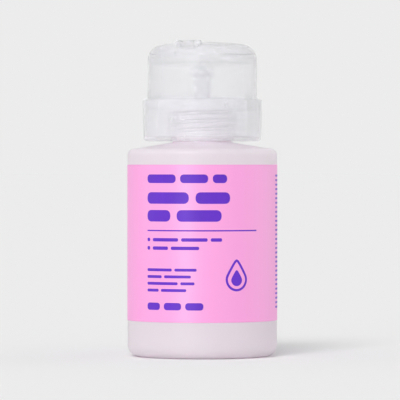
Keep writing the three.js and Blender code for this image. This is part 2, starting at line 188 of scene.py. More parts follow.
def turnPiece(name, rings, segments=fineSegments):
    # a circle at the first ring, extruded and scaled from ring to ring round the Z axis
    onAxis = rings[0][0] < mergeReach
    path = rings[1:-1] if onAxis else rings + rings[:1]
    radius, height = path[0]
    dropSelection()
    bpy.ops.mesh.primitive_circle_add(vertices=segments, radius=radius, location=(0, 0, height))
    piece = bpy.context.object
    piece.name = name
    fixPlace(piece)
    editAll(piece)
    for nextRadius, nextHeight in path[1:]:
        bpy.ops.mesh.extrude_edges_move(TRANSFORM_OT_translate={"value": (0, 0, nextHeight - height)})
        grow = nextRadius / radius
        bpy.ops.transform.resize(value=(grow, grow, 1), center_override=(0, 0, 0))
        radius, height = nextRadius, nextHeight
    if onAxis:
        meetOnAxis(rings[-1][1] - height)
        selectOpenEdges()
        meetOnAxis(rings[0][1] - path[0][1])
    return closeUp(piece)


def roundedBlock(name, low, high, edge):
    # a cube between two corners in millimetres, its edges rounded
    size = [(b - a) * mm for a, b in zip(low, high)]
    middle = [(a + b) / 2 * mm for a, b in zip(low, high)]
    dropSelection()
    bpy.ops.mesh.primitive_cube_add(size=1, location=middle, scale=size)
    piece = fixPlace(bpy.context.object)
    piece.name = name
    if edge:
        editAll(piece)
        bpy.ops.mesh.bevel(offset=edge * mm, segments=edgeSteps, affect="EDGES")
    return closeUp(piece)


def bevelledRod(name, radius, start, end, edge, segments=48):
    # a rod between two points in millimetres, its end rims rounded
    start, end = Vector(start) * mm, Vector(end) * mm
    along = end - start
    turn = along.to_track_quat("Z", "Y").to_euler()
    dropSelection()
    bpy.ops.mesh.primitive_cylinder_add(
        vertices=segments, radius=radius * mm, depth=along.length, location=(start + end) / 2, rotation=turn)
    piece = bpy.context.object
    piece.name = name
    if edge:
        editAll(piece)
        bpy.ops.mesh.select_mode(type="FACE")
        bpy.ops.mesh.select_all(action="DESELECT")
        mesh = bmesh.from_edit_mesh(piece.data)
        for face in mesh.faces:
            face.select_set(len(face.verts) > 4)  # the two ends
        bmesh.update_edit_mesh(piece.data)
        bpy.ops.mesh.region_to_loop()
        bpy.ops.mesh.bevel(offset=edge * mm, segments=edgeSteps, affect="EDGES")
    return fixPlace(closeUp(piece))


def sweepUp(piece, turns, rise, steps):
    # a section in the plane y = 0, swept up a right-handed helix and closed at its ends
    applyChange(piece, "SCREW", axis="Z", angle=fullTurn * turns, screw_offset=rise * mm, iterations=1,
                steps=steps, render_steps=steps)
    editAll(piece)
    selectOpenEdges()
    bpy.ops.mesh.fill_holes(sides=0)
    return closeUp(piece)


# shared surface effects

def newGroup(name, inputs, outputs):
    group = bpy.data.node_groups.new(name, "ShaderNodeTree")
    for way, sockets in (("INPUT", inputs), ("OUTPUT", outputs)):
        for label, kind in sockets.items():
            group.interface.new_socket(name=label, in_out=way, socket_type="NodeSocket" + kind)
    return group, group.nodes.new("NodeGroupInput"), group.nodes.new("NodeGroupOutput")


def addNode(tree, kind, **settings):
    node = tree.nodes.new(kind)
    for key, value in settings.items():
        setattr(node, key, value)
    return node


def feed(tree, socket, value):
    # a number is set on the socket, and another node's output is linked to it
    if isinstance(value, (int, float)):
        socket.default_value = value
    else:
        tree.links.new(value, socket)


def noiseNode(tree, place, scale, detail):
    node = addNode(tree, "ShaderNodeTexNoise")
    node.inputs["Detail"].default_value = detail
    feed(tree, node.inputs["Scale"], scale)
    tree.links.new(place, node.inputs["Vector"])
    return node.outputs["Fac"]


def spreadNode(tree, value, low, high, middle=(0.3, 0.7)):
    # maps the middle of a noise to a range
    node = addNode(tree, "ShaderNodeMapRange")
    for label, side in zip(("From Min", "From Max", "To Min", "To Max"), (*middle, low, high)):
        feed(tree, node.inputs[label], side)
    tree.links.new(value, node.inputs["Value"])
    return node.outputs["Result"]


def mathNode(tree, operation, first, second):
    node = addNode(tree, "ShaderNodeMath", operation=operation)
    feed(tree, node.inputs[0], first)
    feed(tree, node.inputs[1], second)
    return node.outputs["Value"]


skinGrain = {
    "flowScale": 45, "flowDetail": 3, "flowStretch": (1, 1, 0.35),  # the melt flows upwards
    "glossScale": 260, "glossDetail": 4,
    "grainScale": 2600, "waveScale": 320, "fineDetail": 2, "grainShare": 0.35, "bumpDepth": 0.05,
}


def makeMouldedSkin(size):
    # moulded plastic: slow colour drift, uneven gloss and a fine surface grain
    group, given, made = newGroup(
        "mouldedSkin",
        {"Place": "Vector", "Colour": "Color", "Deep Colour": "Color",
         "Gloss Low": "Float", "Gloss High": "Float", "Flow": "Float"},
        {"Colour": "Color", "Roughness": "Float", "Height": "Float"})
    place = given.outputs["Place"]
    stretch = addNode(group, "ShaderNodeMapping")
    stretch.inputs["Scale"].default_value = size["flowStretch"]
    group.links.new(place, stretch.inputs["Vector"])
    flow = noiseNode(group, stretch.outputs["Vector"], given.outputs["Flow"], size["flowDetail"])
    colour = addNode(group, "ShaderNodeMix", data_type="RGBA")
    group.links.new(spreadNode(group, flow, 0, 1), colour.inputs["Factor"])
    group.links.new(given.outputs["Colour"], colour.inputs["A"])
    group.links.new(given.outputs["Deep Colour"], colour.inputs["B"])
    handled = noiseNode(group, place, size["glossScale"], size["glossDetail"])
    gloss = spreadNode(group, handled, given.outputs["Gloss Low"], given.outputs["Gloss High"])
    grain = noiseNode(group, place, size["grainScale"], size["fineDetail"])
    waves = noiseNode(group, place, size["waveScale"], size["fineDetail"])
    height = mathNode(group, "ADD", mathNode(group, "MULTIPLY", grain, size["grainShare"]), waves)
    group.links.new(colour.outputs["Result"], made.inputs["Colour"])
    group.links.new(gloss, made.inputs["Roughness"])
    group.links.new(height, made.inputs["Height"])
    return group


markGrain = {
    "turn": (0.5, 0.3, 0.9), "stretch": (60, 900, 240), "hairDetail": 2, "hair": (0.64, 0.72),
    "spotScale": 75, "spotDetail": 5, "spots": (0.5, 0.75), "spotShare": 0.6,
}


def makeHandlingMarks(size):
    # faint hairlines and dull spots that a bottle picks up on the way to a shelf
    group, given, made = newGroup(
        "handlingMarks", {"Place": "Vector", "Roughness": "Float", "Amount": "Float"}, {"Roughness": "Float"})
    turned = addNode(group, "ShaderNodeMapping")
    turned.inputs["Rotation"].default_value = size["turn"]
    turned.inputs["Scale"].default_value = size["stretch"]
    group.links.new(given.outputs["Place"], turned.inputs["Vector"])
    lines = noiseNode(group, turned.outputs["Vector"], 1, size["hairDetail"])
    hair = spreadNode(group, lines, 0, 1, size["hair"])
    cloud = noiseNode(group, given.outputs["Place"], size["spotScale"], size["spotDetail"])
    spots = mathNode(group, "MULTIPLY", spreadNode(group, cloud, 0, 1, size["spots"]), size["spotShare"])
    worn = mathNode(group, "MULTIPLY", mathNode(group, "MAXIMUM", hair, spots), given.outputs["Amount"])
    group.links.new(mathNode(group, "ADD", given.outputs["Roughness"], worn), made.inputs["Roughness"])
    return group


mouldedSkin = makeMouldedSkin(skinGrain)
handlingMarks = makeHandlingMarks(markGrain)


def paint(red, green, blue):
    # an on-screen colour, 0 to 255, as linear light by the usual screen curve
    def linear(value):
        value /= 255
        return value / 12.92 if value <= 0.04045 else ((value + 0.055) / 1.055) ** 2.4
    return (linear(red), linear(green), linear(blue), 1)


def plasticLook(name, settings):
    look = bpy.data.materials.new(name)
    look.use_nodes = True
    tree = look.node_tree
    shader = tree.nodes["Principled BSDF"]
    coords = addNode(tree, "ShaderNodeTexCoord")
    skin = addNode(tree, "ShaderNodeGroup", node_tree=mouldedSkin)
    tree.links.new(coords.outputs["Object"], skin.inputs["Place"])
    skin.inputs["Colour"].default_value = paint(*settings["colour"])
    skin.inputs["Deep Colour"].default_value = paint(*settings["deepColour"])
    skin.inputs["Gloss Low"].default_value = settings["gloss"][0]
    skin.inputs["Gloss High"].default_value = settings["gloss"][1]
    skin.inputs["Flow"].default_value = settings.get("flow", skinGrain["flowScale"])
    marks = addNode(tree, "ShaderNodeGroup", node_tree=handlingMarks)
    tree.links.new(coords.outputs["Object"], marks.inputs["Place"])
    tree.links.new(skin.outputs["Roughness"], marks.inputs["Roughness"])
    marks.inputs["Amount"].default_value = settings["marks"]
    bump = addNode(tree, "ShaderNodeBump")
    bump.inputs["Strength"].default_value = settings["bump"]
    bump.inputs["Distance"].default_value = skinGrain["bumpDepth"] * mm
    tree.links.new(skin.outputs["Height"], bump.inputs["Height"])
    tree.links.new(skin.outputs["Colour"], shader.inputs["Base Color"])
    tree.links.new(marks.outputs["Roughness"], shader.inputs["Roughness"])
    tree.links.new(bump.outputs["Normal"], shader.inputs["Normal"])
    for socket, value in settings["shader"].items():
        shader.inputs[socket].default_value = value
    return look


# finishes

finishes = {
    "milkyPlastic": {
        "colour": (251, 247, 250), "deepColour": (249, 244, 248), "gloss": (0.3, 0.38),
        "bump": 0.12, "marks": 0.06, "shader": {"IOR": 1.4, "Transmission Weight": 0.45},
    },
    "clearPlastic": {  # head and lid
        "colour": (249, 249, 250), "deepColour": (246, 246, 248), "gloss": (0.12, 0.18),
        "bump": 0.05, "marks": 0.04, "shader": {"IOR": 1.25, "Transmission Weight": 0.7, "Alpha": 0.75},
    },
    "dishPlastic": {  # clearer, because it is seen through the head
        "colour": (249, 249, 250), "deepColour": (246, 246, 248), "gloss": (0.12, 0.18),
        "bump": 0.05, "marks": 0.04, "shader": {"IOR": 1.25, "Transmission Weight": 0.7, "Alpha": 0.4},
    },
    "hazyPlastic": {  # collar
        "colour": (243, 243, 245), "deepColour": (240, 240, 243), "gloss": (0.2, 0.26),
        "bump": 0.05, "marks": 0.04, "shader": {"IOR": 1.25, "Transmission Weight": 0.6, "Alpha": 0.6},
    },
    "naturalPlastic": {
        "colour": (249, 249, 251), "deepColour": (246, 246, 249), "gloss": (0.22, 0.3),
        "bump": 0.08, "marks": 0.04, "shader": {"IOR": 1.4, "Transmission Weight": 0.3},
    },
    "whitePlastic": {
        "colour": (242, 242, 240), "deepColour": (237, 237, 235), "gloss": (0.34, 0.42),
        "bump": 0.1, "marks": 0.04, "shader": {"IOR": 1.5},
    },
    "sealFoam": {
        "colour": (240, 240, 238), "deepColour": (228, 228, 225), "gloss": (0.75, 0.9),
        "bump": 0.6, "marks": 0.0, "flow": 300, "shader": {"IOR": 1.4},
    },
    "springSteel": {
        "colour": (200, 202, 205), "deepColour": (182, 184, 188), "gloss": (0.2, 0.3),
        "bump": 0.06, "marks": 0.08, "flow": 160, "shader": {"Metallic": 1.0},
    },
    "valveGlass": {
        "colour": (238, 245, 245), "deepColour": (234, 242, 243), "gloss": (0.02, 0.05),
        "bump": 0.0, "marks": 0.02, "shader": {"IOR": 1.52, "Transmission Weight": 1.0},
    },
    "labelFilm": {
        "colour": (251, 154, 221), "deepColour": (248, 151, 218), "gloss": (0.38, 0.44),
        "bump": 0.1, "marks": 0.05, "flow": 30, "shader": {"IOR": 1.85, "Specular IOR Level": 0.8},
    },
    "labelInk": {
        "colour": (98, 34, 200), "deepColour": (90, 26, 188), "gloss": (0.36, 0.44),
        "bump": 0.1, "marks": 0.05, "flow": 120, "shader": {"IOR": 1.5},
    },
}
looks = {name: plasticLook(name, settings) for name, settings in finishes.items()}
print("finishes:", len(looks))


# bottle

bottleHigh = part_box("bottle")[1]
bottleSize = {
    "radius": bottleHigh.x / mm, "neckTop": bottleHigh.z / mm, "wall": 1.2,
    "heel": 7.0, "standingRing": 2.0, "ringRound": 0.4, "pushUp": 2.2,
    "shoulderStart": 80.2, "shoulderEnd": 83.0, "shoulderRound": 2.4,
    "neckRadius": 10.9, "neckWall": 1.7, "neckRound": 1.2, "lipRound": 0.3, "arcSteps": 7,
}


def makeBottle(size):
    ringInner = size["radius"] - size["heel"] - size["standingRing"]
    inner, bore = size["radius"] - size["wall"], size["neckRadius"] - size["neckWall"]
    floor = size["pushUp"] + size["wall"]
    dome = ringInner - 2 * size["pushUp"]
    rings = roundedRings([
        (0, size["pushUp"]),
        (dome, size["pushUp"], size["pushUp"]),
        (ringInner, 0, size["ringRound"]),
        (size["radius"], 0, size["heel"]),
        (size["radius"], size["shoulderStart"], size["shoulderRound"]),
        (size["neckRadius"], size["shoulderEnd"], size["neckRound"]),
        (size["neckRadius"], size["neckTop"], size["lipRound"]),
        (bore, size["neckTop"], size["lipRound"]),
        (bore, size["shoulderEnd"] - size["wall"], size["neckRound"]),
        (inner, size["shoulderStart"] - size["wall"], size["shoulderRound"] - size["wall"]),
        (inner, size["wall"], size["heel"] - size["wall"]),
        (ringInner, size["wall"], size["ringRound"]),
        (dome, floor, size["pushUp"]),
        (0, floor),
    ], size["arcSteps"])
    piece = turnPiece("bottle_shell", rings)
    smoothOff(piece)
    return dress(piece, looks["milkyPlastic"], "bottle", "milky_plastic", "bottle")


makeBottle(bottleSize)


# screw thread, on the neck and inside the collar

threadSize = {
    "pitch": 3.175, "frontHeight": 89.6, "turnsBelow": 1.15, "turns": 2.3, "stepsPerTurn": 64,
    "neckRoot": 10.8, "neckCrest": 11.85, "sleeveRoot": 12.35, "sleeveCrest": 11.2,
    "rootWidth": 1.7, "crestWidth": 0.7, "edge": 0.2, "edgeSteps": 2,
}


def makeThread(name, root, crest, size, lift):
    # a section that narrows from root to crest, swept up and turned to its height at the front
    middle, depth = (root + crest) / 2 * mm, abs(crest - root) * mm
    dropSelection()
    bpy.ops.mesh.primitive_plane_add(size=1, location=(middle, 0, 0), rotation=(quarterTurn, 0, 0))
    piece = bpy.context.object
    piece.name = name
    piece.scale = (depth, size["rootWidth"] * mm, 1)
    fixPlace(piece)
    editAll(piece)
    selectVerts(piece, lambda at: abs(at.x - crest * mm) < levelReach)
    narrow = size["crestWidth"] / size["rootWidth"]
    bpy.ops.transform.resize(value=(1, 1, narrow), center_override=(middle, 0, 0))
    bpy.ops.mesh.select_all(action="SELECT")
    bpy.ops.mesh.bevel(offset=size["edge"] * mm, segments=size["edgeSteps"], affect="VERTICES")
    bpy.ops.mesh.select_all(action="SELECT")
    bpy.ops.mesh.delete(type="ONLY_FACE")
    bpy.ops.object.mode_set(mode="OBJECT")
    sweepUp(piece, size["turns"], size["pitch"] * size["turns"], int(size["stepsPerTurn"] * size["turns"]))
    piece.rotation_euler = (0, 0, -quarterTurn - fullTurn * size["turnsBelow"])
    piece.location = (0, 0, (size["frontHeight"] + lift - size["turnsBelow"] * size["pitch"]) * mm)
    return smoothOff(fixPlace(piece))


neckThread = makeThread("neck_thread", threadSize["neckRoot"], threadSize["neckCrest"], threadSize, 0)
dress(neckThread, looks["milkyPlastic"], "bottle", "milky_plastic")
print("bottle and neck thread made")


# wrap label and its print

labelLow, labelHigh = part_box("wrap_label")
labelSize = {
    "inner": bottleHigh.x / mm + 0.05, "film": 0.07, "bottom": labelLow.z / mm, "top": labelHigh.z / mm,
    "overlap": 5.0, "lapInset": 0.3, "lapLift": 0.55, "lapFilm": 0.5,  # the last two as shares of the film
    "inkLift": 0.02, "ink": 0.02, "stripWidth": 1.8,
}
labelOuter = labelSize["inner"] + labelSize["film"]


def wrapRound(piece, radius):
    # bends a flat sheet, drawn in the XZ plane with arc length along X, round the bottle
    spans = [vert.co.x for vert in piece.data.vertices]
    applyChange(piece, "SIMPLE_DEFORM", deform_method="BEND", deform_axis="Z",
                angle=(max(spans) - min(spans)) / (radius * mm))
    piece.location = (0, -radius * mm, 0)
    return fixPlace(piece)


def cutInStrips(piece, width):
    # crosswise cuts, so that a flat sheet can follow the round wall
    spans = [vert.co.x for vert in piece.data.vertices]
    editAll(piece)
    place = math.floor(min(spans) / width) * width
    while place < max(spans):
        bpy.ops.mesh.select_all(action="SELECT")
        bpy.ops.mesh.bisect(plane_co=(place, 0, 0), plane_no=(1, 0, 0))
        place += width
    bpy.ops.object.mode_set(mode="OBJECT")


def makeLabel(size):
    rings = roundedRings([
        (size["inner"], size["bottom"]), (labelOuter, size["bottom"]),
        (labelOuter, size["top"]), (size["inner"], size["top"])])
    film = turnPiece("label_film", rings)
    # the film's end laps over its start at the back
    height = size["top"] - size["bottom"]
    back = (math.pi * labelOuter * mm, -size["film"] * size["lapLift"] * mm, (size["bottom"] + height / 2) * mm)
    dropSelection()
    bpy.ops.mesh.primitive_plane_add(size=1, location=back, rotation=(quarterTurn, 0, 0))
    lap = bpy.context.object
    lap.scale = (size["overlap"] * mm, (height - size["lapInset"]) * mm, 1)
    fixPlace(lap)
    cutInStrips(lap, size["stripWidth"] * mm)
    applyChange(lap, "SOLIDIFY", thickness=size["film"] * size["lapFilm"] * mm, offset=0)
    closeUp(wrapRound(lap, labelOuter))
    pickOnly(film)
    lap.select_set(True)
    bpy.ops.object.join()
    smoothOff(film)
    film.visible_diffuse = False  # no pink glow on the floor
    return dress(film, looks["labelFilm"], "bottle", "label_film", "wrap_label")


makeLabel(labelSize)

# flat print: (left, right, bottom, top) of each bar in millimetres, along the wall from the front's middle
printPlan = {
    "frontBars": [
        (-23.4, -10.4, 67.3, 70.6), (-8.6, 2.2, 67.3, 70.6), (4.0, 9.6, 67.3, 70.6),
        (-23.4, -5.2, 59.4, 63.8), (-2.6, 10.8, 59.4, 63.8),
        (-23.4, -12.6, 52.6, 57.0), (-10.0, 7.4, 52.6, 57.0),
        (-23.4, 23.0, 48.9, 49.4),
        (-23.4, -22.0, 45.0, 46.4), (-20.6, -9.4, 45.0, 46.3), (-8.2, 2.0, 45.0, 46.3), (3.2, 7.6, 45.0, 46.3),
        (-23.4, -22.0, 41.8, 43.2), (-20.6, -13.6, 41.8, 43.1), (-12.4, -1.2, 41.8, 43.1),
        (-23.4, -12.0, 33.6, 34.7), (-10.9, -2.2, 33.6, 34.7),
        (-23.4, -16.4, 31.0, 32.1), (-15.3, -4.4, 31.0, 32.1),
        (-23.4, -9.6, 28.4, 29.5), (-8.5, -3.0, 28.4, 29.5),
        (-23.4, -17.8, 25.8, 26.9), (-16.7, -6.2, 25.8, 26.9),
        (-23.4, -17.2, 18.8, 21.6), (-15.4, -8.2, 18.8, 21.6), (-6.6, 0.4, 18.8, 21.6),
    ],
    "barRound": 0.42, "fineRound": 0.3,  # shares of a bar's shorter side
    "finePanels": [(38.5, 76.0), (-84.0, -46.5)],
    "fineTop": 70.5, "fineBottom": 19.0, "fineStep": 1.75, "fineHeight": 0.8, "fineSeed": 11,
    "fineLength": (2.5, 8), "fineGap": 1.0, "leastLength": 2, "shortLines": 0.3, "shortBy": 0.35,
    "drop": {"across": 13.6, "height": 30.6, "radius": 4.6, "tip": 7.6, "line": 0.9, "core": 0.5, "coreSink": 0.3},
}


def addBar(left, right, bottom, top, share):
    # edit mode: one flat bar with round corners
    cornerSteps = 4
    width, height = right - left, top - bottom
    middle = ((left + right) / 2 * mm, 0, (bottom + top) / 2 * mm)
    bpy.ops.mesh.select_all(action="DESELECT")
    bpy.ops.mesh.primitive_plane_add(size=1, location=middle, rotation=(quarterTurn, 0, 0))
    bpy.ops.transform.resize(value=(width * mm, 1, height * mm), center_override=middle)
    bpy.ops.mesh.bevel(offset=min(width, height) * share * mm, segments=cornerSteps, affect="VERTICES")


def addDrop(piece, across, height, radius, tip, line):
    # edit mode: a disc whose upper half is drawn out to a tip, and hollowed where a line width is given
    segments, pinch = 48, 0.34
    middle = (across * mm, 0, height * mm)
    bpy.ops.mesh.select_all(action="DESELECT")
    bpy.ops.mesh.primitive_circle_add(
        vertices=segments, radius=radius * mm, fill_type="NGON", location=middle, rotation=(quarterTurn, 0, 0))
    mesh = bmesh.from_edit_mesh(piece.data)
    for vert in mesh.verts:
        if vert.select and vert.co.z > middle[2]:
            up = (vert.co.z - middle[2]) / (radius * mm)
            vert.co.z += (tip - radius) * mm * up ** 3
            vert.co.x = middle[0] + (vert.co.x - middle[0]) * (1 - pinch * up ** 2)
    bmesh.update_edit_mesh(piece.data)
    if line:
        bpy.ops.mesh.inset(thickness=line * mm, use_even_offset=True)
        bpy.ops.mesh.delete(type="FACE")


def makePrint(plan, size):
    dropSelection()
    bpy.ops.mesh.primitive_plane_add(size=1)
    piece = bpy.context.object
    piece.name = "label_print"
    editAll(piece)
    bpy.ops.mesh.delete(type="VERT")
    for bar in plan["frontBars"]:
        addBar(*bar, plan["barRound"])
    drop = plan["drop"]
    addDrop(piece, drop["across"], drop["height"], drop["radius"], drop["tip"], drop["line"])
    addDrop(piece, drop["across"], drop["height"] - drop["coreSink"],
            drop["radius"] * drop["core"], drop["tip"] * drop["core"], 0)
    lengths = random.Random(plan["fineSeed"])
    for left, right in plan["finePanels"]:
        height = plan["fineTop"]
        while height > plan["fineBottom"]:
            place = left
            missing = lengths.uniform(0, plan["shortBy"]) * (right - left)
            stop = right - missing * (lengths.random() < plan["shortLines"])
            while place < stop - plan["leastLength"]:
                end = min(place + lengths.uniform(*plan["fineLength"]), stop)
                addBar(place, end, height - plan["fineHeight"], height, plan["fineRound"])
                place = end + plan["fineGap"]
            height -= plan["fineStep"]
    bpy.ops.object.mode_set(mode="OBJECT")
    cutInStrips(piece, size["stripWidth"] * mm)
    piece.location = (0, -size["inkLift"] * mm, 0)
    fixPlace(piece)
    applyChange(piece, "SOLIDIFY", thickness=size["ink"] * mm, offset=0)
    wrapRound(piece, labelOuter)
    closeUp(piece)
    smoothOff(piece)
    return dress(piece, looks["labelInk"], "bottle", "label_film")


makePrint(printPlan, labelSize)
print("label and print made")


# screw collar

collarLow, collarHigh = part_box("screw_collar")
collarSize = {
    "bottom": collarLow.z / mm, "deckTop": collarHigh.z / mm, "top": collarLow.z / mm + 16.1,
    "radius": 23.2, "wall": 1.3, "floor": 1.4, "taper": 0.35, "sleeve": 12.25, "sleeveWall": 1.3,
    "deck": 1.2, "deckHole": 6.0, "holeRound": 0.2, "deckRound": 0.4, "sleeveRound": 0.3,
}


def makeCollar(size):
    trough, sleeveOuter = size["radius"] - size["wall"], size["sleeve"] + size["sleeveWall"]
    rings = roundedRings([
        (size["radius"] - size["taper"], size["bottom"], size["wall"]),
        (size["radius"], size["top"], size["wall"] / 2),
        (trough, size["top"], size["wall"] / 3),
        (trough, size["bottom"] + size["floor"], size["floor"] / 2),
        (sleeveOuter, size["bottom"] + size["floor"], size["floor"] / 2),
        (sleeveOuter, size["deckTop"], size["deck"] / 2),
        (size["deckHole"], size["deckTop"], size["holeRound"]),
        (size["deckHole"], size["deckTop"] - size["deck"], size["holeRound"]),
        (size["sleeve"], size["deckTop"] - size["deck"], size["deckRound"]),
        (size["sleeve"], size["bottom"], size["sleeveRound"]),
    ])
    piece = turnPiece("collar_ring", rings)
    ridge = makeThread(
        "sleeve_thread", threadSize["sleeveRoot"], threadSize["sleeveCrest"], threadSize, threadSize["pitch"] / 2)
    combine(piece, ridge, "UNION")
    smoothOff(piece)
    piece.visible_shadow = False  # the clear wall passes light on to the neck
    return dress(piece, looks["hazyPlastic"], "collar", "clear_plastic", "screw_collar")


makeCollar(collarSize)
print("collar made")


# head shell, dish and lid, drawn with the hinge to the front and then turned with it

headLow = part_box("head_shell")[0]
dishLow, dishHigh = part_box("dispensing_dish")
headSize = {
    "skirtBottom": headLow.z / mm, "skirtRadius": 21.45, "draft": 0.9, "wall": 1.2,
    "rimWidth": 2.4, "rimThickness": 1.2, "rimRound": 0.3, "seam": dishHigh.z / mm + 1.23, "lidHeight": 5.3,
    "crownRadius": 140.0, "crownSteps": 8, "crownCorner": 6.0, "cornerSteps": 10,
    "hingeInset": 3.9, "hingeDrop": 1.5, "hingeAzimuth": -18.0, "knuckle": 3.4, "knuckleLength": 4.8,
    "earLength": 2.3, "armDrop": 1.1, "armRise": 0.6, "trunnion": 1.8, "trunnionLength": 1.6,
    "gap": 0.3, "running": 0.1, "seat": 0.03, "edge": 0.25,
}
domeTop = headSize["seam"] + headSize["lidHeight"]
slope = math.tan(math.radians(headSize["draft"]))


def wallAt(height):
    return headSize["skirtRadius"] - (height - headSize["skirtBottom"]) * slope


hingeReach = wallAt(headSize["seam"]) - headSize["hingeInset"]
hingeHeight = domeTop - headSize["hingeDrop"]
chord = hingeReach - headSize["knuckle"] / 2 - headSize["gap"]
rimInner = wallAt(headSize["seam"]) - headSize["rimWidth"]
beyond, spare = 45, 1  # cutting blocks reach past the head, and stock is left where a cut follows


def crownCorners(bottom, wall):
    # from the crown's middle out and down to a height, moved inwards by a wall
    edge = wallAt(domeTop) - wall
    steps = headSize["crownSteps"]

    def crown(radius):
        return domeTop - wall - radius ** 2 / (2 * headSize["crownRadius"])
    top = [(edge - headSize["crownCorner"]) * share / steps for share in range(steps)]
    corner = (edge, crown(edge), headSize["crownCorner"] - wall)
    return [(radius, crown(radius)) for radius in top] + [corner, (wallAt(bottom) - wall, bottom)]


def domeShell(name, bottom):
    inside = crownCorners(bottom, headSize["wall"])[::-1]
    return turnPiece(name, roundedRings(crownCorners(bottom, 0) + inside, headSize["cornerSteps"]))


def domeFilled(name):
    # ends inside the wall, so that what it trims joins the wall without a shared face
    bottom = headSize["seam"] - headSize["lidHeight"]
    corners = crownCorners(bottom, headSize["wall"] / 2) + [(0, bottom)]
    return turnPiece(name, roundedRings(corners, headSize["cornerSteps"]))


def trimBelow(piece, height, edge):
    # cuts a shell off level, closes the cut with a flat rim and rounds its edges
    editAll(piece)
    bpy.ops.mesh.bisect(plane_co=(0, 0, height * mm), plane_no=(0, 0, 1), clear_inner=True)
    selectOpenEdges()
    bpy.ops.mesh.bridge_edge_loops()
    selectVerts(piece, lambda at: abs(at.z - height * mm) < levelReach)
    bpy.ops.mesh.region_to_loop()
    bpy.ops.mesh.bevel(offset=edge * mm, segments=edgeSteps, affect="EDGES")
    return closeUp(piece)


def turnToHinge(piece):
    piece.rotation_euler = (0, 0, math.radians(headSize["hingeAzimuth"]))
    return fixPlace(piece)


def alongHinge(name, radius, left, right, edge):
    return bevelledRod(name, radius, (left, -hingeReach, hingeHeight), (right, -hingeReach, hingeHeight), edge)


def makeHeadShell(size):
    seam, gap, half = size["seam"], size["gap"], size["knuckle"] / 2
    reach = size["knuckleLength"] / 2 + gap
    earSpan = reach + size["earLength"]
    face = -chord - gap  # where the bridge meets the lid
    shell = trimBelow(domeShell("head_skirt", size["skirtBottom"] - spare), size["skirtBottom"], size["edge"])
    combine(shell, roundedBlock("lid_room", (-beyond, face, seam), (beyond, beyond, seam + beyond), 0), "DIFFERENCE")
    rimOuter = wallAt(seam) - size["wall"] / 2
    rim = turnPiece("rim", roundedRings([
        (rimOuter, seam - size["rimThickness"]), (rimOuter, seam),
        (rimInner, seam, size["rimRound"]), (rimInner, seam - size["rimThickness"], size["rimRound"])], edgeSteps))
    combine(shell, rim, "UNION")
    bridge = roundedBlock("bridge_wall", (-beyond, -chord - size["wall"] - gap, seam - size["rimThickness"]),
                          (beyond, face, domeTop + spare), 0)
    block = roundedBlock("hinge_block", (-earSpan, -beyond, seam), (earSpan, face, domeTop + spare), 0)
    combine(bridge, block, "UNION")
    combine(bridge, domeFilled("dome_form"), "INTERSECT")
    combine(shell, bridge, "UNION")
    for side in (-1, 1):
        inner, outer = sorted((side * reach, side * earSpan))
        combine(shell, alongHinge("ear", half, inner, outer, size["edge"]), "UNION")
        foot = roundedBlock("ear_foot", (inner, -hingeReach - half, seam + size["lidHeight"] / 2),
                            (outer, -hingeReach + half, hingeHeight), 0)
        combine(shell, foot, "UNION")
    combine(shell, alongHinge("knuckle_room", half + gap, -reach, reach, 0), "DIFFERENCE")
    armRoom = roundedBlock("arm_room", (-reach, -hingeReach, hingeHeight - size["armDrop"] - gap),
                           (reach, -chord, domeTop + size["lidHeight"]), 0)
    combine(shell, armRoom, "DIFFERENCE")
    pin = size["knuckleLength"] / 2 + size["trunnionLength"] + gap
    combine(shell, alongHinge("pin_hole", size["trunnion"] / 2 + size["running"], -pin, pin, 0), "DIFFERENCE")
    smoothOff(turnToHinge(mergeSlivers(shell)))
    return dress(shell, looks["clearPlastic"], "press_head", "clear_plastic", "head_shell")


makeHeadShell(headSize)
print("head shell made")

dishSize = {
    "boss": dishLow.z / mm, "top": dishHigh.z / mm, "hollow": 1.2, "thickness": 1.2, "rimDepth": 2.0,
    "socket": 3.5, "bossWall": 1.0, "chamber": 1.3, "stemTop": 110.95,
    "edge": 0.3, "socketRound": 0.2, "chamberRound": 0.15, "arcSteps": 4, "bowlSteps": 12, "underFrom": 4,
}
dishMiddle = dishSize["top"] - dishSize["hollow"]


def makeDish(size):
    rim = wallAt(size["top"]) - headSize["wall"] - headSize["seat"] - headSize["running"]
    bossOuter, rimBottom = size["socket"] + size["bossWall"], size["top"] - size["rimDepth"]
    steps = size["bowlSteps"]

    def bowl(share):
        return size["chamber"] + (rimInner - size["chamber"]) * share, dishMiddle + size["hollow"] * share ** 2
    above = [bowl(step / steps) for step in range(steps, 0, -1)]
    under = [bowl(step / steps) for step in range(size["underFrom"], steps)]
    rings = roundedRings([
        (size["socket"], size["boss"], size["socketRound"]), (bossOuter, size["boss"], size["edge"]),
        (bossOuter, dishMiddle - size["thickness"], size["bossWall"]),
        *[(radius, height - size["thickness"]) for radius, height in under],
        (rimInner, rimBottom, size["edge"]), (rim, rimBottom, size["edge"]), (rim, size["top"], size["edge"]), *above,
        (size["chamber"], dishMiddle, size["chamberRound"]),
        (size["chamber"], size["stemTop"]), (size["socket"], size["stemTop"]),
    ], size["arcSteps"])
    piece = turnPiece("pad_dish", rings)
    smoothOff(turnToHinge(piece))
    return dress(piece, looks["dishPlastic"], "press_head", "clear_plastic", "dispensing_dish")


makeDish(dishSize)

capLow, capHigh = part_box("orifice_cap")
capSize = {
    "plug": capLow.z / mm, "top": capHigh.z / mm, "thickness": 0.7, "radius": 3.2, "plugRadius": 1.2,
    "plugRound": 0.15, "edge": 0.1, "arcSteps": 4, "segments": 64,
    "holes": 4, "hole": 0.4, "holeSegments": 24, "holeSpare": 2,
}


